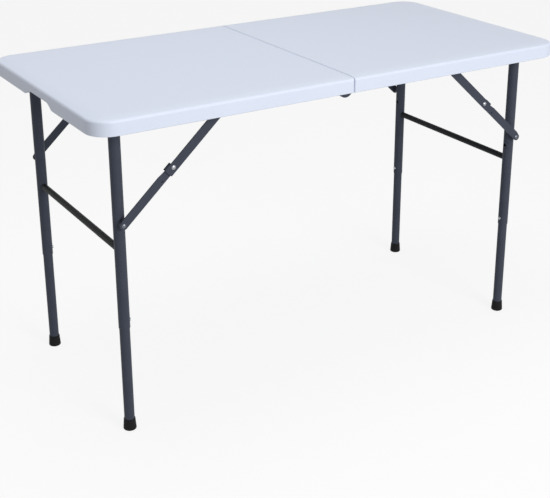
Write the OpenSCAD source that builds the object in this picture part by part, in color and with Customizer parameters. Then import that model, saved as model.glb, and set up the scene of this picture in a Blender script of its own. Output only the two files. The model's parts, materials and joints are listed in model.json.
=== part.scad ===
// Fold-in-half table: two moulded halves on hinged steel rails, with folding telescopic legs.
// +X runs along the table, -Y is the front, +Z is up. The origin is on the floor below the middle.
// The table stands open. Each shape is written once for the left front quarter and mirrored.

/* [Table] */
// Length of the open table
table_l = 1220; // [1180:1:1500]
// Width of the table
table_w = 600; // [560:5:760]
// Height of the table
table_h = 740; // [600:1:780]

/* [Top] */
// Depth of a half, from its top face to its rim
panel_h = 35; // [34:1:50]
// Thickness of the deck over the leg bays
deck_t = 5; // [4:0.5:7]
// Thickness of the double-walled field between the bays
field_t = 16; // [12:1:20]
// Thickness of the skirt
skirt_t = 9; // [6:0.5:11]
// Radius of an outer corner, seen from above
corner_r = 50; // [30:1:60]
// Radius of the upright corner at the seam
seam_corner_r = 4; // [3:0.5:8]
// Radius of the edge round the top
edge_r = 6; // [4:0.5:8]
// Radius of the shoulder that slopes down to the edge
shoulder_r = 180; // [100:5:300]
// Angle in degrees that the shoulder turns through
shoulder_turn = 9; // [4:0.5:12]
// Radius of the top edge at the seam
seam_edge_r = 3; // [1:0.5:5]
// Radius of the rim's outer edge
rim_r = 2; // [1:0.5:3]
// Gap between the halves at the seam
seam_gap = 1.4; // [0.6:0.1:2]
// Width of a leg bay, between a field and the rail
bay_w = 58; // [50:1:64]
// Spacing of the tack-offs on a field
tack_pitch = 58; // [45:1:80]
// Radius of a tack-off's mouth
tack_r = 9; // [6:0.5:12]
// Depth of a tack-off
tack_deep = 8; // [4:0.5:9]

/* [Finger notch] */
// Level length of the notch in the end skirt
notch_l = 100; // [80:5:140]
// Height of the notch above the rim
notch_h = 13; // [8:1:16]
// Length of the curve at each end of the notch
notch_run = 34; // [20:1:40]

/* [Rails] */
// Distance from the side of the top to a rail's web
rail_inset = 38; // [36:1:60]
// Thickness of the rail's sheet
rail_t = 1.6; // [1.2:0.1:2]
// Height of the rim's edge below the rail
rail_up = 1; // [0.5:0.5:4]
// Width of the flange that is screwed to the deck
rail_top_w = 18; // [15:0.5:19]
// Width of the lower flange
rail_low_w = 8; // [5:0.5:8]
// Distance from the table's end to the rail's end
rail_end = 38; // [32:1:45]
// Distance from the seam to the rail's end
rail_seam = 22; // [16:1:30]
// Number of screws in a rail
rail_screws = 5; // [3:1:8]

/* [Centre hinge] */
// Depth of the hinge axis below the rim
hinge_drop = 1; // [0.5:0.5:2]
// Thickness of a hinge plate
plate_t = 3; // [2:0.5:3]
// Radius of a plate's eye
eye_r = 18; // [12:0.5:20]
// Length of a plate along its rail
plate_l = 64; // [40:1:90]
// Radius of the hinge pin
hinge_pin_r = 4; // [3:0.5:5]

/* [Legs] */
// Distance from the table's end to a leg's axis
leg_inset = 73; // [70:1:80]
// Distance from a rail's web to a leg's axis
leg_in = 38; // [36:1:50]
// Radius of the upper leg tube
leg_r = 12.5; // [10:0.5:13]
// Wall of the upper leg tube
leg_wall = 1; // [0.8:0.1:1.2]
// Height of the upper tube's open end
sleeve_z = 250; // [230:5:280]
// Sliding clearance between the tubes
slide_gap = 0.1; // [0.05:0.01:0.1]
// Wall of the lower leg tube
lower_wall = 1.2; // [1:0.1:1.5]
// Length of the lower tube inside the upper one
engage = 85; // [60:1:90]
// Gap between a folded leg's foot and the wall at the seam
tip_gap = 8; // [5:0.5:20]
// Radius of the pivot tube
pivot_r = 11; // [10:0.5:11.5]
// Wall of the pivot and cross tubes
tube_wall = 1.2; // [1:0.1:2]
// Height of the cross brace
cross_z = 430; // [380:5:470]
// Radius of the cross brace
cross_r = 7.5; // [6:0.5:10]

/* [Feet] */
// Wall of the foot cap at its mouth
cap_wall = 1.35; // [1:0.05:3]
// Extra radius of the foot cap at the floor
cap_flare = 1.8; // [0.5:0.1:3]
// Height of the foot cap
cap_h = 27; // [20:1:45]
// Thickness of the foot cap's floor
cap_floor = 4; // [3:0.5:8]

/* [Snap buttons] */
// Height of the snap button
snap_z = 266; // [260:1:270]
// Radius of the button
button_r = 3.9; // [3:0.1:4.5]
// Height of the button above the leg
button_out = 2.8; // [2:0.1:4]
// Clearance round the button in its holes
button_gap = 0.3; // [0.2:0.05:0.5]

/* [Folding braces] */
// Distance from the leg's pivot to the brace's upper pivot
brace_a = 246; // [240:1:260]
// Distance from the leg's pivot to the brace's lower pivot
brace_b = 226; // [216:1:228]
// Thickness of a brace link
link_t = 3; // [2:0.5:3.5]
// Half width of the upper link
upper_half = 10; // [9:0.5:10]
// Half width of the lower link at the joint
lower_half = 8.5; // [7:0.5:8.5]
// Extra width of the lower link on its upper edge
lower_swell = 2; // [0:0.5:2]
// Length of the ear past the joint
ear_l = 18; // [13:1:20]
// Thickness of the stop tab on the ear
tab_t = 2.2; // [1.5:0.1:3]
// Radius of the rivet shanks
rivet_r = 3; // [2.5:0.5:3.5]
// Radius of the rivet heads
rivet_head_r = 5; // [4:0.5:5.5]
// Height of the rivet heads
rivet_head_h = 1.8; // [1.2:0.1:2]
// Radius of the spacer bushes
bush_r = 5.5; // [5:0.5:6.5]

/* [Handle] */
// Distance from the seam to the middle of the handle
handle_x = 305; // [290:1:330]
// Half distance between the handle's arms
handle_half = 58; // [50:1:65]
// Radius of the grip
grip_r = 7.5; // [6:0.5:7.5]
// Length of the grip
grip_l = 92; // [80:1:98]
// Travel of the handle
handle_out = 20; // [10:1:20]
// Room in the recess beside an arm
recess_side = 8.5; // [4:0.5:12]
// Height of the recess
recess_h = 22; // [20:1:26]
// Clearance before and behind the grip in the recess
grip_gap = 0.5; // [0.5:0.1:2]

/* [Fits] */
// Running clearance round a pin or tube
run_gap = 0.06; // [0.03:0.01:0.1]
// Clearance between faces that move past each other
face_gap = 0.3; // [0.2:0.05:0.4]
// Clearance between welded or seated curves
seat_gap = 0.05; // [0.02:0.01:0.1]
// Clearance between the foot cap and the deck when folded
fold_gap = 0.6; // [0.4:0.1:1.5]

/* [Hidden] */
$fn = 48;

white = [0.88, 0.9, 0.95];
steel = [0.27, 0.29, 0.34];
zinc = [0.75, 0.77, 0.8];
rubber = [0.06, 0.06, 0.07];
navy = [0.12, 0.11, 0.28];

// tubes
lower_r = leg_r - leg_wall - slide_gap;
lower_bore = lower_r - lower_wall;
cap_top_r = lower_r + seat_gap + cap_wall;
cap_r = cap_top_r + cap_flare;
// levels
rim_z = table_h - panel_h;
shoulder_w = edge_r + (shoulder_r - edge_r) * sin(shoulder_turn);
// the edge's circle stands this far proud, so the two curves cross rather than touch
edge_proud = 0.01;
edge_mid = (shoulder_r - edge_r) * cos(shoulder_turn) - shoulder_r + edge_proud;
deck_z = table_h - deck_t;
field_z = table_h - field_t;
pivot_z = deck_z - fold_gap - cap_r;
rail_z = rim_z + rail_up;
hinge_z = rim_z - hinge_drop;
// plan
half_w = table_w / 2;
end_x = -table_l / 2;
seam_x = -seam_gap / 2;
rail_y = half_w - rail_inset;
leg_y = rail_y - leg_in;
pivot_x = end_x + leg_inset;
// travel of the lower tubes as the legs fold
travel = pivot_x + pivot_z - seam_x + skirt_t + tip_gap;
fold_cross_x = pivot_x + pivot_z - cross_z;
field_half = rail_y - bay_w;
// hinge plates: length of the slope beside the rail's lower flange, and room in the seam wall
plate_foot = 16;
hinge_room = 3;
// brace: the links are in line when open and lie on each other when folded
brace_span = sqrt(pow(brace_a, 2) + pow(brace_b, 2));
brace_angle = atan2(brace_b, brace_a);
lower_len = (brace_span - (brace_a - brace_b)) / 2;
upper_len = (brace_span + (brace_a - brace_b)) / 2;
top_pin_x = pivot_x + brace_a;
leg_rivet_z = pivot_z - brace_b;
joint_x = pivot_x + lower_len * cos(brace_angle);
joint_z = leg_rivet_z + lower_len * sin(brace_angle);
upper_link_y = rail_y - 10;
lower_link_y = upper_link_y - link_t - face_gap;
taper_near = ear_l + 3;
taper_far = ear_l + 20;
notch_r = rivet_head_r + 1.2;
// play under a head that a link turns on, and the dome's radius
head_gap = 0.1;
dome_r = (pow(rivet_head_r, 2) + pow(rivet_head_h, 2)) / (2 * rivet_head_h);
dimple_back = 38;
dimple_r = 2;
// saddles
saddle_y = 150;
saddle_w = 20;
saddle_t = 2;
saddle_foot = 30;
saddle_bore = pivot_r + run_gap;
field_start = pivot_x + saddle_foot + 10;
// screws
screw_r = 2.2;
screw_head_r = 4.5;
screw_head_h = 2.4;
screw_deep = 4;
// clip strip
strip_t = 0.8;
strip_w = 7;
strip_out = lower_bore - 1.2;
strip_l = 38;
button_dome_r = 7;
plug_lip = 0.6;
// handle
arm_t = 5;
arm_h = 14;
stop_w = 12;
stop_t = 3;
strap_t = 4;
recess_l = 2 * (handle_half + arm_t / 2 + recess_side);
recess_deep = 2 * (grip_r + grip_gap);
recess_y = half_w - recess_deep;
recess_wall = 3;
handle_z = pivot_z;
grip_y = half_w - grip_r - grip_gap;
stop_y = recess_y - recess_wall - handle_out - face_gap;

// helpers
module quarter(x_side, y_side) {
  mirror([x_side > 0 ? 1 : 0, 0, 0]) mirror([0, y_side > 0 ? 1 : 0, 0]) children();
}
module both_sides() {
  for (s = [0, 1]) mirror([0, s, 0]) children();
}
// a cylinder along Y, from the first to the second distance in front of the middle plane
module rod_y(x, z, near, far, r) {
  translate([x, -near, z]) rotate([90, 0, 0]) cylinder(h = far - near, r = r);
}
// turns a drawing in X and Y into one in X and Z, from the first to the second distance in front
module plate_y(near, far) {
  translate([0, -near, 0]) rotate([90, 0, 0]) linear_extrude(far - near) children();
}
module rounded_square(x0, y0, x1, y1, r) {
  translate([x0 + r, y0]) square([x1 - x0 - 2 * r, y1 - y0]);
  translate([x0, y0 + r]) square([x1 - x0, y1 - y0 - 2 * r]);
  for (x = [x0 + r, x1 - r], y = [y0 + r, y1 - r]) translate([x, y]) circle(r);
}
// what a round edge takes off a square corner at the origin
module edge_profile(r) {
  difference() {
    translate([-r, -r]) square(r + 1);
    translate([-r, -r]) circle(r);
  }
}

// what the shoulder takes off a square corner at the origin
module shoulder_profile() {
  difference() {
    translate([-shoulder_w, edge_mid]) square([shoulder_w + 1, 1 - edge_mid]);
    translate([-shoulder_w, -shoulder_r]) circle(shoulder_r);
  }
}
// what the round edge below the shoulder takes off
module lower_edge_profile() {
  start = -edge_r * (1 - sin(shoulder_turn));
  difference() {
    translate([start, edge_mid]) square([1 - start, 1 - edge_mid]);
    translate([-edge_r, edge_mid]) circle(edge_r);
  }
}

// one half of the top
module half_outline(inset) {
  r = corner_r - inset;
  x0 = end_x + inset;
  x1 = seam_x - inset;
  w = half_w - inset;
  translate([x0 + r, -w]) square([x1 - x0 - r, 2 * w]);
  translate([x0, -w + r]) square([2 * r, 2 * w - 2 * r]);
  for (y = [-w + r, w - r]) translate([x0 + r, y]) circle(r);
}
// runs a cutting profile round the outer sides
module edge_ring() {
  run_x = -end_x - corner_r;
  run_y = 2 * (half_w - corner_r);
  both_sides() {
    translate([end_x + corner_r, half_w, 0]) rotate([90, 0, 90]) linear_extrude(run_x) children();
    translate([end_x + corner_r, half_w - corner_r, 0]) rotate([0, 0, 90])
      rotate_extrude(angle = 90) translate([corner_r, 0]) children();
  }
  translate([end_x, run_y / 2, 0]) rotate([90, 0, 0]) mirror([1, 0, 0]) linear_extrude(run_y) children();
}
module tack_field(x0, x1) {
  nx = floor((x1 - x0 - 2 * tack_r) / tack_pitch);
  ny = floor((2 * field_half - 2 * tack_r) / tack_pitch);
  difference() {
    translate([0, 0, field_z]) linear_extrude(field_t - deck_t + 1)
      rounded_square(x0, -field_half, x1, field_half, 12);
    for (i = [0 : nx], j = [0 : ny])
      translate([(x0 + x1) / 2 + (i - nx / 2) * tack_pitch, (j - ny / 2) * tack_pitch, field_z - 0.01])
        cylinder(h = tack_deep, r1 = tack_r, r2 = tack_r / 2);
  }
}
// the end skirt's notch, drawn along Y and up from the rim
module notch_outline() {
  steps = 8;
  ramp = [for (i = [0 : steps]) [notch_l / 2 + notch_run * i / steps, notch_h * (1 + cos(180 * i / steps)) / 2]];
  left = [for (i = [steps : -1 : 0]) [-ramp[i][0], ramp[i][1]]];
  polygon(concat([[notch_l / 2 + notch_run, -1], [-notch_l / 2 - notch_run, -1]], left, ramp));
}
module panel() {
  cradle_h = deck_z - pivot_z + 1;
  difference() {
    union() {
      difference() {
        translate([0, 0, rim_z]) linear_extrude(panel_h) half_outline(0);
        translate([0, 0, rim_z - 1]) linear_extrude(panel_h - deck_t + 1) half_outline(skirt_t);
      }
      tack_field(field_start, fold_cross_x - cross_r - 4);
      tack_field(fold_cross_x + cross_r + 4, seam_x - skirt_t - 6);
      both_sides() difference() {
        translate([pivot_x - pivot_r + 1, saddle_y - saddle_w / 2, pivot_z]) cube([2 * pivot_r - 2, saddle_w, cradle_h]);
        rod_y(pivot_x, pivot_z, -saddle_y - saddle_w, saddle_y, saddle_bore);
      }
    }
    translate([0, 0, table_h]) edge_ring() shoulder_profile();
    translate([0, 0, table_h]) edge_ring() lower_edge_profile();
    translate([0, 0, rim_z]) mirror([0, 0, 1]) edge_ring() edge_profile(rim_r);
    translate([seam_x, half_w, table_h]) rotate([90, 0, 0]) linear_extrude(table_w) edge_profile(seam_edge_r);
    both_sides() translate([seam_x, half_w, rim_z - 1]) linear_extrude(panel_h + 2) edge_profile(seam_corner_r);
    translate([end_x - 1, 0, rim_z]) rotate([90, 0, 90]) linear_extrude(skirt_t + 2) notch_outline();
    // room for the hinge plates in the seam wall
    both_sides() translate([seam_x - skirt_t - 1, rail_y - plate_t - hinge_room, rim_z - 1])
      cube([skirt_t + 3, rail_t + 2 * (plate_t + hinge_room), eye_r + hinge_room]);
    both_sides() rail_screw_places() translate([0, 0, deck_z - 1]) cylinder(h = screw_deep + 1, r = screw_r + seat_gap);
    both_sides() saddle_screw_places() translate([0, 0, deck_z - 1]) cylinder(h = screw_deep + 1, r = screw_r + seat_gap);
  }
}
// the back skirt of the left half is thicker round the handle's recess
module handle_block() {
  x0 = -handle_x - recess_l / 2 - 10;
  y0 = recess_y - recess_wall;
  difference() {
    translate([x0, y0, rim_z + 1]) cube([recess_l + 20, half_w - y0 - skirt_t / 2, deck_z - rim_z]);
    // room for the rail's upper flange
    translate([x0 - 1, rail_y, deck_z - rail_t - face_gap])
      cube([recess_l + 22, rail_top_w + face_gap, rail_t + face_gap]);
  }
}
module handle_recess() {
  translate([0, half_w + 1, 0]) rotate([90, 0, 0]) linear_extrude(recess_deep + 1)
    rounded_square(-handle_x - recess_l / 2, handle_z - recess_h / 2, -handle_x + recess_l / 2,
                   handle_z + recess_h / 2, 6);
  for (s = [-1, 1]) translate([-handle_x + s * handle_half, half_w - 25, handle_z])
    cube([arm_t + 2 * face_gap, 50, arm_h + 2 * face_gap], center = true);
}
module left_panel() {
  color(white) difference() {
    union() {
      panel();
      handle_block();
    }
    handle_recess();
  }
}
module right_panel() {
  color(white) mirror([1, 0, 0]) panel();
}

// rails and what fastens them
module rail_screw_places() {
  x0 = end_x + rail_end + 62;
  x1 = -rail_seam - plate_l + 18;
  for (i = [0 : rail_screws - 1])
    translate([x0 + (x1 - x0) * i / (rail_screws - 1), -rail_y - rail_t - 10, 0]) children();
}
module rail() {
  x0 = end_x + rail_end;
  difference() {
    translate([x0, 0, 0]) rotate([90, 0, 90]) linear_extrude(-rail_seam - x0) {
      translate([-rail_y - rail_t, rail_z]) square([rail_t, deck_z - rail_z]);
      translate([-rail_y - rail_top_w, deck_z - rail_t]) square([rail_top_w, rail_t]);
      translate([-rail_y - rail_low_w, rail_z]) square([rail_low_w, rail_t]);
    }
    // the lower flange stops short of the hinge plate
    translate([-rail_seam - plate_foot, -rail_y - rail_low_w - 1, rail_z - 1])
      cube([plate_foot + 1, rail_low_w - rail_t + 1, rail_t + 2]);
    rod_y(pivot_x, pivot_z, rail_y - 1, rail_y + rail_t + 1, pivot_r + run_gap);
    rod_y(pivot_x, pivot_z, rail_y + rail_t, rail_y + rail_top_w + 1, pivot_r + plug_lip + face_gap);
    rod_y(top_pin_x, pivot_z, rail_y - 1, rail_y + rail_t + 1, rivet_r + seat_gap);
    rail_screw_places() translate([0, 0, deck_z - rail_t - 1]) cylinder(h = rail_t + 2, r = screw_r + seat_gap);
  }
}
// the back left rail lets the handle's ends through
module handle_rail_slots() {
  for (s = [-1, 1]) translate([-handle_x + s * handle_half, -rail_y, handle_z])
    cube([stop_w + 2, 10, arm_h + 4], center = true);
}
module screw() {
  translate([0, 0, -screw_head_h]) cylinder(h = screw_head_h, r1 = screw_head_r * 0.8, r2 = screw_head_r);
  cylinder(h = rail_t + screw_deep - 0.5, r = screw_r);
}
module rail_screw_set() {
  color(zinc) both_sides() rail_screw_places() translate([0, 0, deck_z - rail_t]) screw();
}

// saddles that hold the pivot tube up to its cradles
module saddle_screw_places() {
  for (x = [-1, 1]) translate([pivot_x + x * (saddle_foot - 7), -saddle_y, 0]) children();
}
module saddle_pair() {
  outer = saddle_bore + saddle_t;
  color(steel) both_sides() difference() {
    plate_y(saddle_y - saddle_w / 2, saddle_y + saddle_w / 2) translate([pivot_x, pivot_z]) difference() {
      union() {
        circle(outer);
        translate([-outer, 0]) square([2 * outer, deck_z - pivot_z]);
        translate([-saddle_foot, deck_z - pivot_z - saddle_t]) square([2 * saddle_foot, saddle_t]);
      }
      circle(saddle_bore);
      translate([-saddle_bore, 0]) square([2 * saddle_bore, deck_z - pivot_z + 1]);
    }
    saddle_screw_places() translate([0, 0, deck_z - saddle_t - 1]) cylinder(h = saddle_t + 2, r = screw_r + seat_gap);
  }
}
module saddle_screw_set() {
  color(zinc) both_sides() saddle_screw_places() translate([0, 0, deck_z - saddle_t]) screw();
}

// centre hinge
module plate_outline() {
  difference() {
    union() {
      translate([0, hinge_z]) circle(eye_r);
      polygon([
        [-rail_seam - plate_l, rail_z + rail_t + 6], [-rail_seam - plate_l, deck_z - rail_t - 4],
        [-rail_seam - 2, deck_z - rail_t - 4], [-rail_seam + 6, hinge_z + eye_r + 3],
        [eye_r * cos(50), hinge_z + eye_r * sin(50)], [-eye_r * sin(30), hinge_z - eye_r * cos(30)],
        [-rail_seam - plate_foot + 2, rail_z + rail_t + 0.2]
      ]);
    }
    translate([0, hinge_z]) circle(hinge_pin_r + run_gap);
  }
}
module left_hinge_plates() {
  color(steel) both_sides() plate_y(rail_y + rail_t, rail_y + rail_t + plate_t) plate_outline();
}
module right_hinge_plates() {
  color(steel) mirror([1, 0, 0]) both_sides() plate_y(rail_y - plate_t, rail_y) plate_outline();
}
module hinge_pins() {
  head_h = 2;
  in_y = rail_y - plate_t - face_gap;
  out_y = rail_y + rail_t + plate_t;
  color(zinc) both_sides() {
    rod_y(0, hinge_z, in_y - head_h, out_y + head_h, hinge_pin_r);
    rod_y(0, hinge_z, in_y - head_h, in_y, hinge_pin_r + 3);
    rod_y(0, hinge_z, out_y, out_y + head_h, hinge_pin_r + 3);
    // spacer between the two eyes
    rod_y(0, hinge_z, rail_y + face_gap, rail_y + rail_t, hinge_pin_r + 3);
  }
}

// leg frame
module pivot_tube() {
  end_y = rail_y + rail_t + 1.5;
  color(steel) difference() {
    rod_y(pivot_x, pivot_z, -end_y, end_y, pivot_r);
    rod_y(pivot_x, pivot_z, -end_y - 1, end_y + 1, pivot_r - tube_wall);
  }
}
module tube_plugs() {
  end_y = rail_y + rail_t + 1.5;
  color(rubber) both_sides() {
    rod_y(pivot_x, pivot_z, end_y, end_y + 2, pivot_r + plug_lip);
    rod_y(pivot_x, pivot_z, end_y - 12, end_y, pivot_r - tube_wall - seat_gap);
  }
}
module upper_leg() {
  color(steel) difference() {
    union() {
      translate([pivot_x, -leg_y, sleeve_z]) cylinder(h = pivot_z - sleeve_z, r = leg_r);
      rod_y(pivot_x, leg_rivet_z, leg_y, lower_link_y - face_gap, bush_r);
    }
    translate([pivot_x, -leg_y, sleeve_z - 1]) cylinder(h = pivot_z - sleeve_z + 2, r = leg_r - leg_wall);
    rod_y(pivot_x, pivot_z, leg_y - 20, leg_y + 20, pivot_r + seat_gap);
    for (z = [snap_z, snap_z + travel])
      translate([pivot_x, -leg_y, z]) rotate([0, 90, 0]) cylinder(h = 20, r = button_r + button_gap);
  }
}
module cross_brace() {
  color(steel) difference() {
    rod_y(pivot_x, cross_z, -leg_y, leg_y, cross_r);
    rod_y(pivot_x, cross_z, -leg_y - 1, leg_y + 1, cross_r - tube_wall);
    both_sides() translate([pivot_x, leg_y, cross_z - 20]) cylinder(h = 40, r = leg_r + seat_gap);
  }
}

// lower leg
module lower_leg() {
  color(steel) translate([pivot_x, -leg_y, 0]) difference() {
    translate([0, 0, cap_floor]) cylinder(h = sleeve_z + engage - cap_floor, r = lower_r);
    cylinder(h = sleeve_z + engage + 1, r = lower_bore);
    translate([0, 0, snap_z]) rotate([0, 90, 0]) cylinder(h = 20, r = button_r + button_gap);
  }
}
module foot_cap() {
  toe_r = 3;
  lip_r = 1;
  color(rubber) translate([pivot_x, -leg_y, 0]) difference() {
    rotate_extrude() {
      translate([0, toe_r]) polygon([
        [0, 0], [cap_r, 0], [cap_top_r, cap_h - toe_r - lip_r], [cap_top_r - lip_r, cap_h - toe_r], [0, cap_h - toe_r]
      ]);
      translate([cap_top_r - lip_r, cap_h - lip_r]) circle(lip_r);
      translate([cap_r - toe_r, toe_r]) intersection() {
        circle(toe_r);
        translate([0, -toe_r]) square([toe_r, toe_r]);
      }
      square([cap_r - toe_r, toe_r]);
    }
    translate([0, 0, cap_floor]) cylinder(h = cap_h, r = lower_r + seat_gap);
  }
}
// one strip of spring steel bent to a U, with the button on one arm
module snap_clip() {
  bend_z = snap_z - strip_l;
  arm_r = strip_out - strip_t / 2;
  color(zinc) translate([pivot_x, -leg_y, 0]) {
    plate_y(-strip_w / 2, strip_w / 2) {
      for (s = [-1, 1]) translate([s * arm_r - strip_t / 2, bend_z]) square([strip_t, strip_l + s * 8]);
      translate([0, bend_z]) difference() {
        circle(strip_out);
        circle(strip_out - strip_t);
        translate([-20, 0]) square(40);
      }
    }
    translate([arm_r, 0, snap_z]) rotate([0, 90, 0]) intersection() {
      cylinder(h = leg_r + button_out - arm_r, r = button_r);
      translate([0, 0, leg_r + button_out - arm_r - button_dome_r]) sphere(button_dome_r);
    }
    translate([arm_r, 0, snap_z]) rotate([0, 90, 0]) cylinder(h = leg_r - arm_r, r = button_r);
  }
}

// folding brace, each link drawn along +X from its pivot at the origin
module upper_link_outline() {
  difference() {
    union() {
      circle(upper_half);
      translate([0, -upper_half]) square([upper_len + ear_l - 4, 2 * upper_half]);
      rounded_square(upper_len, -upper_half, upper_len + ear_l, upper_half, 4);
    }
    circle(rivet_r + run_gap);
    translate([upper_len, 0]) circle(rivet_r + seat_gap);
    // room for the leg rivet's head when folded
    translate([brace_a - brace_b, 0]) circle(notch_r);
    translate([brace_a - brace_b - notch_r, 0]) square([2 * notch_r, upper_half + 1]);
  }
}
module upper_link() {
  tab_y = lower_half + 0.5;
  color(steel) translate([top_pin_x, 0, pivot_z]) rotate([0, -180 - brace_angle, 0]) {
    plate_y(upper_link_y, upper_link_y + link_t) upper_link_outline();
    plate_y(lower_link_y - 3, upper_link_y + link_t)
      translate([upper_len - 2, -tab_y - tab_t]) square([ear_l + 1, tab_t]);
  }
}
module lower_link_outline() {
  wide = lower_half + lower_swell;
  difference() {
    union() {
      circle(lower_half);
      polygon([
        [0, -lower_half], [lower_len, -lower_half], [lower_len, lower_half],
        [lower_len - taper_near, lower_half], [lower_len - taper_far, wide], [lower_half, wide], [0, lower_half]
      ]);
      translate([lower_len, 0]) circle(lower_half);
    }
    circle(rivet_r + seat_gap);
    translate([lower_len, 0]) circle(rivet_r + run_gap);
  }
}
module lower_link() {
  color(steel) translate([pivot_x, 0, leg_rivet_z]) rotate([0, -brace_angle, 0]) difference() {
    plate_y(lower_link_y, lower_link_y + link_t) lower_link_outline();
    rod_y(lower_len - dimple_back, -2, lower_link_y + link_t / 3, lower_link_y + link_t + 1, dimple_r);
  }
}
// a domed head, standing outwards (way 1) or inwards (way -1) from a distance in front of the middle
module rivet_head(x, z, at, way) {
  translate([x, -at, z]) rotate([way * 90, 0, 0]) intersection() {
    cylinder(h = rivet_head_h + 1, r = rivet_head_r + 1);
    translate([0, 0, rivet_head_h - dome_r]) sphere(dome_r);
  }
}
module joint_rivet() {
  in_y = lower_link_y - head_gap;
  out_y = upper_link_y + link_t;
  color(zinc) {
    rod_y(joint_x, joint_z, in_y, out_y, rivet_r);
    rivet_head(joint_x, joint_z, out_y, 1);
    rivet_head(joint_x, joint_z, in_y, -1);
  }
}
module leg_rivet() {
  color(zinc) {
    rod_y(pivot_x, leg_rivet_z, lower_link_y, lower_link_y + link_t, rivet_r);
    rivet_head(pivot_x, leg_rivet_z, lower_link_y + link_t, 1);
  }
}
module brace_pins() {
  in_y = upper_link_y - head_gap;
  color(zinc) both_sides() {
    rod_y(top_pin_x, pivot_z, in_y, rail_y + rail_t, rivet_r);
    rivet_head(top_pin_x, pivot_z, in_y, -1);
    rod_y(top_pin_x, pivot_z, upper_link_y + link_t + head_gap, rail_y, bush_r);
    rivet_head(top_pin_x, pivot_z, rail_y + rail_t, 1);
  }
}

// carrying handle
module handle_strap() {
  color(navy) {
    translate([-handle_x, grip_y, handle_z]) cube([2 * handle_half + arm_t, strap_t, arm_h - 3], center = true);
    for (s = [-1, 1]) translate([-handle_x + s * handle_half, stop_y - stop_t, handle_z - arm_h / 2]) {
      translate([-arm_t / 2, 0, 0]) cube([arm_t, grip_y + strap_t / 2 + stop_t - stop_y, arm_h]);
      translate([-stop_w / 2, 0, 0]) cube([stop_w, stop_t, arm_h]);
    }
  }
}
module handle_grip() {
  color(navy) difference() {
    translate([-handle_x - grip_l / 2, grip_y, handle_z]) rotate([0, 90, 0]) {
      translate([0, 0, 3]) cylinder(h = grip_l - 6, r = grip_r);
      cylinder(h = 3, r1 = grip_r - 2, r2 = grip_r);
      translate([0, 0, grip_l - 3]) cylinder(h = 3, r1 = grip_r, r2 = grip_r - 2);
    }
    translate([-handle_x, grip_y, handle_z])
      cube([grip_l + 2, strap_t + 2 * seat_gap, arm_h - 3 + 2 * seat_gap], center = true);
  }
}

left_panel();
color(steel) rail();  // left_front_rail
color(steel) mirror([0, 1, 0]) difference() { rail(); handle_rail_slots(); }  // left_back_rail
rail_screw_set();  // left_rail_screws
saddle_pair();  // left_pivot_saddles
saddle_screw_set();  // left_saddle_screws
brace_pins();  // left_brace_pins
left_hinge_plates();
hinge_pins();
handle_grip();
handle_strap();
right_panel();
color(steel) quarter(1, -1) rail();  // right_front_rail
color(steel) quarter(1, 1) rail();  // right_back_rail
quarter(1, -1) rail_screw_set();  // right_rail_screws
quarter(1, -1) saddle_pair();  // right_pivot_saddles
quarter(1, -1) saddle_screw_set();  // right_saddle_screws
quarter(1, -1) brace_pins();  // right_brace_pins
right_hinge_plates();
pivot_tube();  // left_pivot_tube
upper_leg();  // left_front_upper_leg
quarter(-1, 1) upper_leg();  // left_back_upper_leg
cross_brace();  // left_cross_brace
tube_plugs();  // left_tube_plugs
quarter(1, -1) pivot_tube();  // right_pivot_tube
quarter(1, -1) upper_leg();  // right_front_upper_leg
quarter(1, 1) upper_leg();  // right_back_upper_leg
quarter(1, -1) cross_brace();  // right_cross_brace
quarter(1, -1) tube_plugs();  // right_tube_plugs
lower_leg();  // left_front_lower_leg
foot_cap();  // left_front_foot_cap
snap_clip();  // left_front_snap_clip
quarter(-1, 1) lower_leg();  // left_back_lower_leg
quarter(-1, 1) foot_cap();  // left_back_foot_cap
quarter(-1, 1) snap_clip();  // left_back_snap_clip
quarter(1, -1) lower_leg();  // right_front_lower_leg
quarter(1, -1) foot_cap();  // right_front_foot_cap
quarter(1, -1) snap_clip();  // right_front_snap_clip
quarter(1, 1) lower_leg();  // right_back_lower_leg
quarter(1, 1) foot_cap();  // right_back_foot_cap
quarter(1, 1) snap_clip();  // right_back_snap_clip
upper_link();  // left_front_upper_link
lower_link();  // left_front_lower_link
joint_rivet();  // left_front_joint_rivet
leg_rivet();  // left_front_leg_rivet
quarter(-1, 1) upper_link();  // left_back_upper_link
quarter(-1, 1) lower_link();  // left_back_lower_link
quarter(-1, 1) joint_rivet();  // left_back_joint_rivet
quarter(-1, 1) leg_rivet();  // left_back_leg_rivet
quarter(1, -1) upper_link();  // right_front_upper_link
quarter(1, -1) lower_link();  // right_front_lower_link
quarter(1, -1) joint_rivet();  // right_front_joint_rivet
quarter(1, -1) leg_rivet();  // right_front_leg_rivet
quarter(1, 1) upper_link();  // right_back_upper_link
quarter(1, 1) lower_link();  // right_back_lower_link
quarter(1, 1) joint_rivet();  // right_back_joint_rivet
quarter(1, 1) leg_rivet();  // right_back_leg_rivet
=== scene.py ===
import json
import math

import bmesh
import bpy
from mathutils import Matrix, Vector


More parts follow.
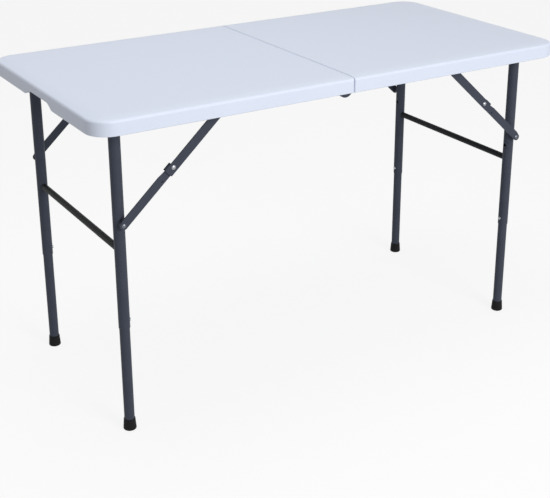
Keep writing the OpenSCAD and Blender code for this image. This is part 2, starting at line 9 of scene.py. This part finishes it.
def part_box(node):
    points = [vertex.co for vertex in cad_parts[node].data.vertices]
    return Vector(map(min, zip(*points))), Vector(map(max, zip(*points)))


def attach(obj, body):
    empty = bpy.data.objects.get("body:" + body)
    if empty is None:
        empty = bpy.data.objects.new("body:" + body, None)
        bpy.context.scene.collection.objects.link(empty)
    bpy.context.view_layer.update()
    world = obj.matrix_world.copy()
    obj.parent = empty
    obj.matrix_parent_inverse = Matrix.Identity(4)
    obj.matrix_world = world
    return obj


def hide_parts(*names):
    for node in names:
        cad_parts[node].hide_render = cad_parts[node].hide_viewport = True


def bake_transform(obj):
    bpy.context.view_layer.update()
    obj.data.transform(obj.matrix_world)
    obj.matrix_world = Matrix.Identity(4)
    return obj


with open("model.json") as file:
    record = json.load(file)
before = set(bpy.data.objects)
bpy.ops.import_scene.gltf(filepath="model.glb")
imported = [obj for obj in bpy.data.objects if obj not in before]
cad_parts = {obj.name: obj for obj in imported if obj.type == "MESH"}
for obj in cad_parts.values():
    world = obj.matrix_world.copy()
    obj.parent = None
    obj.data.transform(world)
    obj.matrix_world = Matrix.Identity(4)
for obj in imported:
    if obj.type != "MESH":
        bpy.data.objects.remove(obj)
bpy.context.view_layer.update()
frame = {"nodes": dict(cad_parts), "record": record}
nodes = frame["nodes"]
scene = bpy.context.scene
print("frame loaded:", len(nodes), "nodes")


# a wrapped socket: + and * on it add Math nodes
class Wire:
    def __init__(self, tree, socket):
        self.tree = tree
        self.socket = socket

    def math(self, operation, first, second):
        made = self.tree.nodes.new("ShaderNodeMath")
        made.operation = operation
        feed(made.inputs[0], first)
        feed(made.inputs[1], second)
        return Wire(self.tree, made.outputs[0])

    def __add__(self, other):
        return self.math("ADD", self, other)

    def __radd__(self, other):
        return self.math("ADD", other, self)

    def __mul__(self, other):
        return self.math("MULTIPLY", self, other)

    def __rmul__(self, other):
        return self.math("MULTIPLY", other, self)


# joins a wire to a socket, or sets the socket's own value
def feed(socket, value):
    if isinstance(value, Wire):
        value.tree.links.new(value.socket, socket)
    else:
        socket.default_value = value


# two patterns as one, with the first one's share
def blend(first, second, share):
    return first * share + second * (1 - share)


# the node tree of a material or of the sky
class NodeTree:
    def __init__(self, owner):
        self.owner = owner
        owner.use_nodes = True
        self.tree = owner.node_tree
        self.tree.nodes.clear()

    # adds a node: settings go on first, then each socket gets its value or link
    def node(self, kind, settings, sockets, output=0):
        made = self.tree.nodes.new("ShaderNode" + kind)
        for name, value in settings.items():
            setattr(made, name, value)
        for name, value in sockets.items():
            feed(made.inputs[name], value)
        return Wire(self.tree, made.outputs[output]) if made.outputs else None

    # 1 for rays from the camera, from a shiny surface or through glass, and 0 for the rest
    def seen(self):
        kinds = ("Is Camera Ray", "Is Glossy Ray", "Is Transmission Ray")
        camera, glossy, through = (self.node("LightPath", {}, {}, kind) for kind in kinds)
        return camera + glossy + through


# the finish of a piece, with patterns on its Object coordinates
class Finish(NodeTree):
    def __init__(self, name):
        super().__init__(bpy.data.materials.new(name))
        self.place = self.node("TexCoord", {}, {}, "Object")

    def noise(self, scale, detail=2.0, stretch=None):
        place = self.place
        if stretch:
            place = self.node("Mapping", {}, {"Vector": place, "Scale": stretch})
        sockets = {"Vector": place, "Scale": scale, "Detail": detail}
        return self.node("TexNoise", {}, sockets, "Fac")

    # a Mix node's colour sockets are 6 and 7, and its colour result is 2
    def tint(self, low, high, factor):
        return self.node("Mix", {"data_type": "RGBA"}, {0: factor, 6: (*low, 1), 7: (*high, 1)}, 2)

    # the one shader: tone varies the colour, wear the roughness and height the bump
    def close(self, look, tone, wear, height, metal=0.0):
        bump = {"Height": height, "Distance": look["depth"], "Strength": look["strength"]}
        sockets = {
            "Base Color": self.tint(look["deep"], look["pale"], tone),
            "Roughness": look["rough"] + wear * look["spread"],
            "Specular IOR Level": look["gloss"],
            "Metallic": metal,
            "Normal": self.node("Bump", {}, bump),
        }
        shader = self.node("BsdfPrincipled", {}, sockets)
        self.node("OutputMaterial", {}, {"Surface": shader})
        return self.owner


# moulded top: a pale, cool white with a fine pebble grain
polyethylene = {
    "deep": (0.705, 0.762, 0.890),
    "pale": (0.725, 0.780, 0.905),
    "rough": 0.43,
    "spread": 0.1,
    "gloss": 0.45,
    "cloud": 5,
    "pebble": 620,
    "grain": 992,
    "pebbleShare": 0.7,
    "depth": 0.00012,
    "strength": 0.5,
}


def makePolyethylene():
    look = polyethylene
    finish = Finish("mouldedPolyethylene")
    cloud = finish.noise(look["cloud"], 3)
    sockets = {"Vector": finish.place, "Scale": look["pebble"]}
    pebble = finish.node("TexVoronoi", {"feature": "SMOOTH_F1"}, sockets)
    height = blend(pebble, finish.noise(look["grain"]), look["pebbleShare"])
    return finish.close(look, cloud, cloud, height)


# powder coat over steel: satin, with an orange peel that catches the light
powderCoat = {
    "spread": 0.1,
    "cloud": 28,
    "peel": 420,
    "speckle": 2600,
    "peelShare": 0.8,
    "depth": 0.00009,
    "strength": 0.6,
}
coats = {
    "slate": {"deep": (0.043, 0.050, 0.071), "pale": (0.059, 0.068, 0.094), "rough": 0.42, "gloss": 0.14},
    "dark": {"deep": (0.010, 0.011, 0.012), "pale": (0.016, 0.017, 0.019), "rough": 0.45, "gloss": 0.12},
}


def makeCoat(name):
    look = powderCoat | coats[name]
    finish = Finish(name + "PowderCoat")
    cloud = finish.noise(look["cloud"], 3)
    peel = finish.noise(look["peel"], 1)
    height = blend(peel, finish.noise(look["speckle"]), look["peelShare"])
    return finish.close(look, cloud, peel, height)


# zinc plate: a darker, slightly rougher copy of the same zinc on the rivets at the legs, and the lighter
# one on the other zinc pieces
zincPlate = {"spread": 0.16, "gloss": 0.5, "haze": 160, "depth": 0.00004, "strength": 0.4}
platings = {
    "bright": {"deep": (0.28, 0.29, 0.31), "pale": (0.42, 0.43, 0.45), "rough": 0.22},
    "dull": {"deep": (0.10, 0.11, 0.13), "pale": (0.19, 0.20, 0.22), "rough": 0.26},
}


def makeZinc(name):
    look = zincPlate | platings[name]
    finish = Finish(name + "Zinc")
    haze = finish.noise(look["haze"], 3)
    return finish.close(look, haze, haze, haze, 1.0)


# rubber: black on the caps and plugs with hardly any shine, navy and a little shinier on the grip
rubbers = {
    "mouldedRubber": {
        "deep": (0.006, 0.006, 0.007),
        "pale": (0.011, 0.011, 0.012),
        "rough": 0.62,
        "spread": 0.14,
        "gloss": 0.15,
        "cloud": 60,
        "grain": 1800,
        "depth": 0.00006,
        "strength": 0.6,
    },
    "navyGrip": {
        "deep": (0.014, 0.012, 0.050),
        "pale": (0.024, 0.020, 0.078),
        "rough": 0.46,
        "spread": 0.16,
        "gloss": 0.5,
        "cloud": 90,
        "grain": 1500,
        "depth": 0.00008,
        "strength": 0.6,
    },
}


def makeRubber(name):
    look = rubbers[name]
    finish = Finish(name)
    cloud = finish.noise(look["cloud"], 3)
    grain = finish.noise(look["grain"])
    return finish.close(look, cloud, grain, grain)


# strap: navy webbing, with fine ribs along it and long threads
weaving = {
    "deep": (0.011, 0.009, 0.036),
    "pale": (0.026, 0.022, 0.080),
    "rough": 0.62,
    "spread": 0.2,
    "gloss": 0.5,
    "ribs": 260,
    "waver": 0.6,
    "threads": 1200,
    "threadStretch": (1.0, 0.25, 1.0),
    "ribToneShare": 0.6,
    "ribHeightShare": 0.7,
    "depth": 0.00022,
    "strength": 0.7,
}


def makeWebbing():
    look = weaving
    finish = Finish("navyWebbing")
    settings = {"bands_direction": "Z", "wave_profile": "SIN"}
    sockets = {"Vector": finish.place, "Scale": look["ribs"], "Distortion": look["waver"]}
    ribs = finish.node("TexWave", settings, sockets, "Fac")
    threads = finish.noise(look["threads"], 2, look["threadStretch"])
    tone = blend(ribs, threads, look["ribToneShare"])
    return finish.close(look, tone, ribs, blend(ribs, threads, look["ribHeightShare"]))


finishes = {
    "panel_white": makePolyethylene(),
    "slate_coat": makeCoat("slate"),
    "dark_coat": makeCoat("dark"),
    "zinc": makeZinc("bright"),
    "rubber": makeRubber("mouldedRubber"),
    "navy": makeRubber("navyGrip"),
}
webbing = makeWebbing()
# the same zinc, made darker, for the rivets at the legs
legRivetZinc = makeZinc("dull")

slotOf = {part["node"]: part["material_slot"] for part in frame["record"]["subparts"]}
for name, thing in nodes.items():
    thing.data.materials.clear()
    thing.data.materials.append(legRivetZinc if name.endswith("leg_rivet") else finishes[slotOf[name]])
print("finishes made:", len(finishes) + 2)


# shared by all pieces made here
weld = 1e-6  # points closer than this are one
turnSteps = 24  # faces round a turned piece


# gives a finished bmesh its object, finish and body, and hides the CAD nodes that it stands for
def settle(name, shape, finish, body, standsFor=(), crease=35):
    bmesh.ops.remove_doubles(shape, verts=shape.verts, dist=weld)
    bmesh.ops.recalc_face_normals(shape, faces=shape.faces)
    mesh = bpy.data.meshes.new(name)
    shape.to_mesh(mesh)
    shape.free()
    mesh.shade_smooth()
    mesh.set_sharp_from_angle(angle=math.radians(crease))
    mesh.materials.append(finish)
    piece = bpy.data.objects.new(name, mesh)
    scene.collection.objects.link(piece)
    if body:
        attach(piece, body)
    if standsFor:
        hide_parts(*standsFor)
    return piece


# a chain of (radius, height) points spun once round an axis
def spinProfile(shape, points, centre, along):
    chain = []
    for radius, height in points:
        spot = (radius, 0, height) if along == "Z" else (height, 0, radius)
        chain.append(shape.verts.new(Vector(centre) + Vector(spot)))
    edges = [shape.edges.new(pair) for pair in zip(chain, chain[1:])]
    axis = (0, 0, 1) if along == "Z" else (1, 0, 0)
    bmesh.ops.spin(
        shape, geom=chain + edges, cent=centre, axis=axis, angle=math.tau,
        steps=turnSteps, use_merge=True, use_duplicate=False,
    )


# pan-head screws with a cross recess, in two rows; the heads point down
screws = {
    "columns": {"rail_screws": 5, "saddle_screws": 2},
    "shank": 0.0022,
    "tip": 0.0012,
    "headRadius": 0.0045,
    "headRise": 0.0024,
    "crown": ((1, 0.62), (0.93, 0.34), (0.8, 0.1)),  # shares of the head's radius and rise
    "flat": 0.0028,
    "armLong": 0.0021,
    "armWide": 0.00055,
    "deep": 0.0013,
    "crossTaper": 0.6,
    "edgeRoom": 0.00449,  # from the edge of the node's box to the middle of a screw
    "crease": 28,
}


def addScrew(shape, x, y, low, high):
    shank, rise, head = screws["shank"], screws["headRise"], screws["headRadius"]
    profile = [(0, high), (shank * 0.5, high), (shank, high - screws["tip"]), (shank, low + rise)]
    profile.append((head, low + rise))
    profile += [(head * out, low + rise * up) for out, up in screws["crown"]]
    profile.append((screws["flat"], low))
    before = set(shape.verts)
    spinProfile(shape, profile, (x, y, 0), "Z")
    fresh = [v for v in shape.verts if v not in before]
    rim = {v for v in fresh if abs(v.co.z - low) < weld}
    touching = {e for v in rim for e in v.link_edges}
    rimEdges = [e for e in touching if e.verts[0] in rim and e.verts[1] in rim]
    long, wide = screws["armLong"], screws["armWide"]
    corners = [(long, -wide), (long, wide), (wide, wide), (wide, long), (-wide, long), (-wide, wide)]
    corners += [(-a, -b) for a, b in corners]
    cross = shape.faces.new([shape.verts.new((x + a, y + b, low)) for a, b in corners])
    crossEdges = list(cross.edges)
    recess = bmesh.ops.extrude_face_region(shape, geom=[cross])["geom"]
    sunk = [v for v in recess if isinstance(v, bmesh.types.BMVert)]
    taper = screws["crossTaper"]
    bmesh.ops.scale(shape, vec=(taper, taper, 1), space=Matrix.Translation((-x, -y, 0)), verts=sunk)
    bmesh.ops.translate(shape, vec=(0, 0, screws["deep"]), verts=sunk)
    if cross.is_valid:
        bmesh.ops.delete(shape, geom=[cross], context="FACES_ONLY")
    bmesh.ops.bridge_loops(shape, edges=rimEdges + crossEdges)


def makeScrews(node, body, columns):
    low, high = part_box(node)
    shape = bmesh.new()
    left, right = low.x + screws["headRadius"], high.x - screws["headRadius"]
    for column in range(columns):
        x = left + (right - left) * column / (columns - 1)
        for y in (low.y + screws["edgeRoom"], high.y - screws["edgeRoom"]):
            addScrew(shape, x, y, low.z, high.z)
    settle(node + "_crossHeads", shape, finishes["zinc"], body, (node,), screws["crease"])


for side in ("left", "right"):
    for kind, columns in screws["columns"].items():
        makeScrews(side + "_" + kind, side + "_half", columns)
print("screws made")


# weld beads where tubes meet: a rippled ring that hugs the upright tube
welds = {
    "thick": 0.0012,
    "sides": 8,
    "ripples": 22,
    "ripple": 0.22,
    "proud": 0.0004,
    "bush": 0.0055,
    "clear": 0.05,  # a half ring stops short by this angle at each end
    "wholeSteps": 44,
    "halfSteps": 24,
    "crease": 60,
}


# a bead round a tube, on a leg of radius hug; start and turn say where it begins and how far it goes
def addBead(shape, centre, tube, hug, side, start=0.0, turn=math.tau):
    whole = turn == math.tau
    before = set(shape.verts)
    ring = bmesh.ops.create_circle(shape, segments=welds["sides"], radius=welds["thick"])["verts"]
    bmesh.ops.translate(shape, vec=(tube, 0, 0), verts=ring)
    bmesh.ops.rotate(shape, cent=(0, 0, 0), matrix=Matrix.Rotation(start, 3, "Y"), verts=ring)
    edges = list({e for v in ring for e in v.link_edges})
    bmesh.ops.spin(
        shape, geom=ring + edges, cent=(0, 0, 0), axis=(0, 1, 0), angle=turn,
        steps=welds["wholeSteps"] if whole else welds["halfSteps"], use_merge=whole, use_duplicate=False,
    )
    fresh = [v for v in shape.verts if v not in before]
    for v in fresh:
        angle = math.atan2(v.co.z, v.co.x)
        middle = Vector((tube * math.cos(angle), 0, tube * math.sin(angle)))
        swell = 1 + welds["ripple"] * math.sin(welds["ripples"] * angle)
        reach = math.sqrt(hug * hug - middle.x * middle.x)
        v.co = middle + (v.co - middle) * swell + Vector((0, side * reach, 0)) + Vector(centre)
    if not whole:
        touching = {e for v in fresh for e in v.link_edges}
        loose = [e for e in touching if e.is_boundary]
        bmesh.ops.holes_fill(shape, edges=loose, sides=0)


# the height of the middle of a tube that lies level, and its radius
def levelTube(name):
    low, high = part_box(name)
    return (low.z + high.z) / 2, (high.z - low.z) / 2


def makeWelds(side):
    braceMiddle, braceRadius = levelTube(side + "_cross_brace")
    pivotMiddle, pivotRadius = levelTube(side + "_pivot_tube")
    clear = welds["clear"]
    shape = bmesh.new()
    for row, toMiddle in (("front", 1), ("back", -1)):
        low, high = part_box(side + "_" + row + "_upper_leg")
        rivetMiddle = levelTube(side + "_" + row + "_leg_rivet")[0]
        x, leg = (low.x + high.x) / 2, (high.x - low.x) / 2
        y = high.y - leg if row == "front" else low.y + leg
        hug = leg + welds["proud"]  # the bore inside the leg stays clear for the sliding tube
        addBead(shape, (x, y, braceMiddle), braceRadius, hug, toMiddle)
        addBead(shape, (x, y, rivetMiddle), welds["bush"], hug, -toMiddle)
        for way in (1, -1):
            addBead(shape, (x, y, pivotMiddle), pivotRadius, hug, way, clear, math.pi - 2 * clear)
    body = side + "_leg_frame"
    settle(side + "_leg_welds", shape, finishes["slate_coat"], body, (), welds["crease"])


for side in ("left", "right"):
    makeWelds(side)
print("welds made")


# snap clips: the part of the button that stands out of the leg is made lower, and the rest of the strip is
# kept as it is
clips = {
    "domeKept": 0.89,  # share of the button's height that is kept outside the leg
    "armOut": 0.009,  # the bend starts this far from the leg's middle
    "armDown": 0.046,  # and this far below the top of the clip
    "bend": (0.0131, 0.0077),  # from there to the button, sideways and up
}


def makeClip(side, row):
    name = side + "_" + row
    legLow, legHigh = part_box(name + "_upper_leg")
    inward = 1 if side == "left" else -1
    middle = (legLow.x + legHigh.x) / 2
    surface = middle + inward * (legHigh.x - legLow.x) / 2
    shape = bmesh.new()
    shape.from_mesh(nodes[name + "_snap_clip"].data)
    bmesh.ops.remove_doubles(shape, verts=shape.verts, dist=weld)
    dome = [v for v in shape.verts if (v.co.x - surface) * inward > 0]
    fromSurface = Matrix.Translation((-surface, 0, 0))
    bmesh.ops.scale(shape, vec=(clips["domeKept"], 1, 1), space=fromSurface, verts=dome)
    piece = settle(name + "_springClip", shape, finishes["zinc"], None, (name + "_snap_clip",))
    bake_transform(piece)


for side in ("left", "right"):
    for row in ("front", "back"):
        makeClip(side, row)
print("clips made")


# carrying handle: a ribbed grip on a flat strap with stops at its ends
handle = {
    "ribs": 11,
    "rib": 0.0004,
    "waist": 0.0005,
    "inside": 0.00002,  # how far the grip stays inside the CAD one
    "rings": 120,
    "endRound": 0.003,
    "endDrop": 0.28,
    "strapHigh": 0.012,
    "stopSide": 0.0035,
    "stopThick": 0.003,
    "armThick": 0.005,
    "strapThick": 0.004,
    "outerBend": 0.007,
    "innerBend": 0.0035,
    "bendSteps": 6,
    "edge": 0.0006,
}


def makeGrip():
    low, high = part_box("handle_grip")
    length, radius = high.x - low.x, (high.y - low.y) / 2 - handle["inside"]
    centre = ((low.x + high.x) / 2, (low.y + high.y) / 2, (low.z + high.z) / 2)
    points = [(0, -length / 2)]
    for ring in range(handle["rings"] + 1):
        along = (ring / handle["rings"] - 0.5) * length
        inset = max(0, abs(along) - (length / 2 - handle["endRound"])) / handle["endRound"]
        endDrop = radius * handle["endDrop"] * (1 - math.sqrt(max(0, 1 - inset * inset)))
        wave = (1 - math.cos(math.tau * handle["ribs"] * along / length)) / 2
        ribbing = handle["rib"] * wave if inset == 0 else 0
        waist = handle["waist"] * (1 - (2 * along / length) ** 2)
        points.append((radius - endDrop - ribbing - waist, along))
    points.append((0, length / 2))
    shape = bmesh.new()
    spinProfile(shape, points, centre, "X")
    settle("grip_ribbed", shape, finishes["navy"], "carrying_handle", ("handle_grip",))


def makeStrap():
    low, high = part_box("handle_strap")
    stop = low.y + handle["stopThick"]
    armOut = low.x + handle["stopSide"]
    armIn = armOut + handle["armThick"]
    stopIn = armIn + handle["stopSide"]
    # one end of the strap, its outside and then its inside, and the other end as their mirror image
    outer = [(low.x, low.y), (low.x, stop), (armOut, stop), (armOut, high.y)]
    inner = [(armIn, high.y - handle["strapThick"]), (armIn, stop), (stopIn, stop), (stopIn, low.y)]
    mirrored = [(low.x + high.x - x, y) for x, y in reversed(inner + outer)]
    shape = bmesh.new()
    bottom = (low.z + high.z - handle["strapHigh"]) / 2
    corners = [shape.verts.new((x, y, bottom)) for x, y in outer + mirrored + inner]
    shape.faces.new(corners)
    for size, pair in ((handle["outerBend"], corners[3:5]), (handle["innerBend"], corners[11:13])):
        bmesh.ops.bevel(
            shape, geom=pair, affect="VERTICES", offset=size,
            segments=handle["bendSteps"], profile=0.5, material=-1,
        )
    raised = bmesh.ops.extrude_face_region(shape, geom=list(shape.faces))["geom"]
    upper = [v for v in raised if isinstance(v, bmesh.types.BMVert)]
    bmesh.ops.translate(shape, vec=(0, 0, handle["strapHigh"]), verts=upper)
    rims = [e for e in shape.edges if abs(e.verts[0].co.z - e.verts[1].co.z) < weld]
    bmesh.ops.bevel(
        shape, geom=rims, affect="EDGES", offset=handle["edge"],
        segments=2, profile=0.5, material=-1,
    )
    settle("strap_webbing", shape, webbing, "carrying_handle", ("handle_strap",))


makeGrip()
makeStrap()
print("handle made")


# camera: a long lens in front and to the left, looking down, and shifted down to take in the legs
lens = {
    "place": (-1.3946, -2.2405, 1.4044),
    "turn": 32.210,
    "dip": 20.317,
    "length": 74.46,
    "sensor": 36,
    "shift": (-0.0237, -0.14),
    "reach": 100,
}


def makeCamera():
    camera = bpy.data.objects.new("tableCamera", bpy.data.cameras.new("tableCamera"))
    scene.collection.objects.link(camera)
    turn, dip = math.radians(lens["turn"]), math.radians(lens["dip"])
    ahead = Vector((math.sin(turn) * math.cos(dip), math.cos(turn) * math.cos(dip), -math.sin(dip)))
    camera.location = lens["place"]
    camera.rotation_euler = ahead.to_track_quat("-Z", "Y").to_euler()
    camera.data.sensor_width = lens["sensor"]
    camera.data.lens = lens["length"]
    camera.data.shift_x, camera.data.shift_y = lens["shift"]
    camera.data.clip_end = lens["reach"]
    scene.camera = camera


makeCamera()


# studio: a floor that looks white and keeps the shadow, a lamp in front, a lamp above and a pale sky
studio = {
    "white": (1, 1, 1, 1),
    "floor": (0.55, 0.55, 0.55, 1),  # what light bounces off
    "floorSeen": (0.95, 0.95, 0.95, 1),  # what the camera and reflections see, with the shadow
    "floorGlow": 0.85,
    "floorSize": 30,
    "sky": 0.40,
}


def makeFloor():
    mesh = bpy.data.meshes.new("floor")
    slab = bmesh.new()
    bmesh.ops.create_grid(slab, x_segments=1, y_segments=1, size=studio["floorSize"])
    slab.to_mesh(mesh)
    slab.free()
    floor = bpy.data.objects.new("floor", mesh)
    scene.collection.objects.link(floor)
    finish = NodeTree(bpy.data.materials.new("whiteFloor"))
    grey = finish.node("BsdfDiffuse", {}, {"Color": studio["floor"]})
    white = finish.node("BsdfDiffuse", {}, {"Color": studio["floorSeen"]})
    glow = finish.node("Emission", {}, {"Color": studio["white"], "Strength": 1.0})
    shown = finish.node("MixShader", {}, {0: studio["floorGlow"], 1: white, 2: glow})
    mixed = finish.node("MixShader", {}, {0: finish.seen(), 1: grey, 2: shown})
    finish.node("OutputMaterial", {}, {"Surface": mixed})
    mesh.materials.append(finish.owner)


def makeSky():
    sky = NodeTree(bpy.data.worlds.new("paleSky"))
    strength = studio["sky"] + sky.seen() * (1 - studio["sky"])
    back = sky.node("Background", {}, {"Color": studio["white"], "Strength": strength})
    sky.node("OutputWorld", {}, {"Surface": back})
    scene.world = sky.owner


# each lamp: where it stands, what it looks at, its width and its power
lamps = {
    "keyLamp": {"at": (0.35, -3.6, 1.75), "to": (0, 0, 0.6), "size": 1.6, "power": 80},
    "topLamp": {"at": (-0.5, 0.1, 3.05), "to": (-0.5, 0.1, 0.74), "size": 1.4, "power": 19},
}


def makeLamps():
    for name, lamp in lamps.items():
        light = bpy.data.lights.new(name, "AREA")
        light.size = lamp["size"]
        light.energy = lamp["power"]
        made = bpy.data.objects.new(name, light)
        made.location = lamp["at"]
        aim = Vector(lamp["to"]) - Vector(lamp["at"])
        made.rotation_euler = aim.to_track_quat("-Z", "Y").to_euler()
        scene.collection.objects.link(made)


makeFloor()
makeSky()
makeLamps()
scene.view_settings.view_transform = "Standard"
print("studio made")
